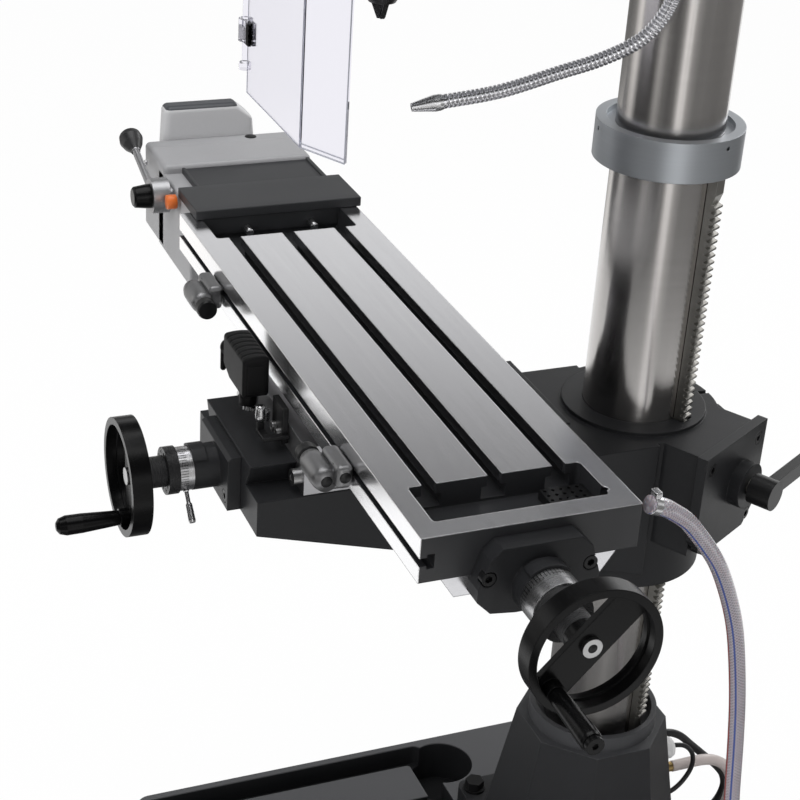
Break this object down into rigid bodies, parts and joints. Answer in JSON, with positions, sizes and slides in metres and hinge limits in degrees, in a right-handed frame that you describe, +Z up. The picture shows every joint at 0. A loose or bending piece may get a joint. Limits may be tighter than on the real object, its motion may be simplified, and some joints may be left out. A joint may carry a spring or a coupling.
{
  "type": "mill drill",
  "caption": "Floor-standing mill drill: column, lifting arm, slotted compound table with handwheels and power feed, geared head, guard, coolant lines.",
  "frame": {"origin": "column axis at floor level, on the underside of the base", "axes": "+X to the operator's right, +Y from the operator towards the column's back, +Z up"},
  "size_m": [1.1452, 0.9081, 1.87],
  "materials": {
    "cast_dark": "semi-gloss dark grey paint on castings",
    "machined": "ground and milled bright iron",
    "ground_steel": "turned and ground steel",
    "rack_steel": "milled rack and gear steel",
    "collar_silver": "satin turned steel",
    "black_screws": "black oxide screws",
    "black_gloss": "glossy black",
    "wheel_black": "glossy black enamel on cast wheels",
    "crank_black": "black paint",
    "bronze": "machined bronze",
    "dial_satin": "satin chromed dial and knurled flange",
    "thumb_screw": "bright plated",
    "switch_plastic": "moulded dark plastic",
    "bracket_black": "black painted steel",
    "roller_steel": "plated steel",
    "strainer_black": "black perforated sheet",
    "stop_zinc": "satin die casting",
    "feed_grey": "light grey paint on the power feed's casting",
    "cover_dark": "dark grey paint",
    "lever_satin": "satin plated hub and lever",
    "knob_black": "black knob",
    "fitting_brass": "machined brass",
    "pvc_clear": "clear braided hose with two stripes",
    "pvc_white": "pale hose",
    "cable_black": "black sheath",
    "neck_chrome": "ribbed flexible metal hose",
    "neck_end_metal": "plated nozzle and socket",
    "head_grey": "light grey paint",
    "quill_steel": "ground steel",
    "spindle_steel": "hardened and ground steel",
    "chuck_black": "blackened chuck",
    "motor_dark": "dark paint on the finned motor",
    "box_black": "moulded switch box",
    "button_green": "green button",
    "button_red": "red mushroom button",
    "rod_steel": "bright rod with dark clips",
    "guard_clear": "clear sheet with bright edges"
  },
  "bodies": {
    "stand": {"base": "cast_dark", "pedestal": "cast_dark", "pedestal_bolts": "black_screws", "column": "ground_steel", "rack_collar": "collar_silver", "head": "head_grey", "motor": "motor_dark", "control_box": "box_black", "gooseneck": "neck_chrome", "neck_ends": "neck_end_metal", "base_fittings": "fitting_brass", "supply_hose": "pvc_white", "power_cable": "cable_black", "drain_hose": "pvc_clear"},
    "rack_ring": {"rack": "rack_steel"},
    "arm": {"table_arm": "cast_dark", "arm_cover": "cast_dark", "arm_screws": "black_screws", "y_bracket": "cast_dark"},
    "pinion_shaft": {"lift_pinion": "rack_steel"},
    "crank": {"lift_worm": "rack_steel", "lift_crank": "crank_black"},
    "crank_handle": {"lift_crank_handle": "black_gloss"},
    "clamp": {"arm_clamp": "crank_black"},
    "cross_screw": {"y_screw": "ground_steel", "y_dial": "dial_satin", "y_handwheel": "wheel_black"},
    "cross_handle": {"y_handle": "black_gloss"},
    "dial_lock": {"y_lock": "thumb_screw"},
    "saddle_unit": {"saddle": "machined", "saddle_screws": "black_screws", "lead_nuts": "bronze", "switch_bracket": "bracket_black", "limit_switch": "switch_plastic"},
    "limit_lever": {"switch_lever": "roller_steel"},
    "table_unit": {"table": "machined", "strainer": "strainer_black", "table_stops": "stop_zinc", "table_screws": "black_screws", "x_bracket": "cast_dark", "feed_cover": "cover_dark", "feed_body": "feed_grey", "hose_fitting": "fitting_brass"},
    "long_screw": {"x_screw": "ground_steel", "x_dial": "dial_satin", "x_handwheel": "wheel_black"},
    "long_handle": {"x_handle": "black_gloss"},
    "feed_selector": {"feed_lever": "lever_satin"},
    "speed_knob": {"feed_knob": "knob_black"},
    "quill_unit": {"quill": "quill_steel"},
    "spindle_unit": {"spindle": "spindle_steel", "chuck": "chuck_black"},
    "capstan": {"feed_hub": "lever_satin"},
    "fine_wheel": {"fine_feed": "black_gloss"},
    "gear_select": {"gear_lever": "knob_black"},
    "quill_clamp": {"quill_lock": "knob_black"},
    "start": {"start_button": "button_green"},
    "stop": {"stop_button": "button_red"},
    "guard_unit": {"guard_rod": "rod_steel", "guard": "guard_clear"}
  },
  "joints": [
    {"name": "table_swing", "type": "hinge", "parent": "stand", "child": "rack_ring", "pos_m": [0, 0, 0.65], "axis": [0, 0, 1], "range_deg": [-20, 20]},
    {"name": "arm_lift", "type": "slide", "parent": "rack_ring", "child": "arm", "axis": [0, 0, 1], "range_m": [-0.195, 0.17], "deforming": ["drain_hose"]},
    {"name": "lift_pinion_turn", "type": "hinge", "parent": "arm", "child": "pinion_shaft", "pos_m": [0.07015, 0.0405, 0.6595], "axis": [-0.5, 0.866, 0], "range_deg": [-800, 800]},
    {"name": "lift_crank_turn", "type": "hinge", "parent": "arm", "child": "crank", "pos_m": [0.1209, 0.09059, 0.687], "axis": [0.866, 0.5, 0], "range_deg": [-12200, 13800]},
    {"name": "crank_handle_turn", "type": "hinge", "parent": "crank", "child": "crank_handle", "pos_m": [0.09921, 0.22817, 0.687], "axis": [0.866, 0.5, 0], "continuous": true},
    {"name": "arm_clamp_turn", "type": "hinge", "parent": "arm", "child": "clamp", "pos_m": [-0.049, 0.098, 0.653], "axis": [1, 0, 0], "range_deg": [-20, 60]},
    {"name": "saddle_slide", "type": "slide", "parent": "arm", "child": "saddle_unit", "axis": [0, 1, 0], "range_m": [-0.07, 0.085]},
    {"name": "cross_screw_turn", "type": "hinge", "parent": "arm", "child": "cross_screw", "pos_m": [0, -0.5, 0.739], "axis": [0, 1, 0], "range_deg": [-6400, 5400]},
    {"name": "cross_handle_turn", "type": "hinge", "parent": "cross_screw", "child": "cross_handle", "pos_m": [0, -0.6, 0.692], "axis": [0, 1, 0], "continuous": true},
    {"name": "dial_lock_turn", "type": "hinge", "parent": "cross_screw", "child": "dial_lock", "pos_m": [0.02, -0.515, 0.719], "axis": [0.7071, 0, -0.7071], "range_deg": [-180, 360]},
    {"name": "table_slide", "type": "slide", "parent": "saddle_unit", "child": "table_unit", "axis": [1, 0, 0], "range_m": [-0.14, 0.072]},
    {"name": "long_screw_turn", "type": "hinge", "parent": "table_unit", "child": "long_screw", "pos_m": [0.4, -0.3135, 0.815], "axis": [1, 0, 0], "range_deg": [-5500, 10500]},
    {"name": "long_handle_turn", "type": "hinge", "parent": "long_screw", "child": "long_handle", "pos_m": [0.53, -0.34555, 0.78063], "axis": [1, 0, 0], "continuous": true},
    {"name": "limit_lever_turn", "type": "hinge", "parent": "saddle_unit", "child": "limit_lever", "pos_m": [-0.01, -0.44375, 0.797], "axis": [0, 0, 1], "range_deg": [-12, 12], "stiffness_Nm_per_rad": 0.5},
    {"name": "feed_selector_turn", "type": "hinge", "parent": "table_unit", "child": "feed_selector", "pos_m": [-0.44, -0.42, 0.856], "axis": [0, 1, 0], "range_deg": [-15, 15]},
    {"name": "speed_knob_turn", "type": "hinge", "parent": "table_unit", "child": "speed_knob", "pos_m": [-0.44, -0.44, 0.856], "axis": [0, 1, 0], "range_deg": [0, 270]},
    {"name": "quill_feed", "type": "slide", "parent": "stand", "child": "quill_unit", "axis": [0, 0, -1], "range_m": [0, 0.1], "stiffness_N_per_m": 500, "springref_m": -0.24},
    {"name": "spindle_turn", "type": "hinge", "parent": "quill_unit", "child": "spindle_unit", "pos_m": [0, -0.326, 1.3], "axis": [0, 0, 1], "continuous": true},
    {"name": "capstan_turn", "type": "hinge", "parent": "stand", "child": "capstan", "pos_m": [0.15, -0.276, 1.404], "axis": [1, 0, 0], "range_deg": [0, 400]},
    {"name": "fine_feed_turn", "type": "hinge", "parent": "stand", "child": "fine_wheel", "pos_m": [0.07, -0.44, 1.378], "axis": [0, 1, 0], "continuous": true},
    {"name": "gear_select_turn", "type": "hinge", "parent": "stand", "child": "gear_select", "pos_m": [-0.04, -0.43, 1.568], "axis": [0, 1, 0], "range_deg": [-60, 60]},
    {"name": "quill_clamp_turn", "type": "hinge", "parent": "stand", "child": "quill_clamp", "pos_m": [-0.095, -0.43, 1.378], "axis": [0, 1, 0], "range_deg": [-60, 30]},
    {"name": "start_press", "type": "slide", "parent": "stand", "child": "start", "axis": [0, 1, 0], "range_m": [0, 0.003], "stiffness_N_per_m": 400, "springref_m": -0.004},
    {"name": "stop_press", "type": "slide", "parent": "stand", "child": "stop", "axis": [0, 1, 0], "range_m": [0, 0.004], "stiffness_N_per_m": 400, "springref_m": -0.004},
    {"name": "guard_swing", "type": "hinge", "parent": "stand", "child": "guard_unit", "pos_m": [-0.1875, -0.3965, 1.2], "axis": [0, 0, 1], "range_deg": [-100, 0]}
  ],
  "couplings": [
    {"joint": "lift_pinion_turn", "follows": "arm_lift", "rad_per_m": -66.667},
    {"joint": "lift_crank_turn", "follows": "arm_lift", "rad_per_m": -1200},
    {"joint": "cross_screw_turn", "follows": "saddle_slide", "rad_per_m": -1256.6},
    {"joint": "long_screw_turn", "follows": "table_slide", "rad_per_m": -1256.6},
    {"joint": "capstan_turn", "follows": "quill_feed", "rad_per_m": 66.667}
  ]
}
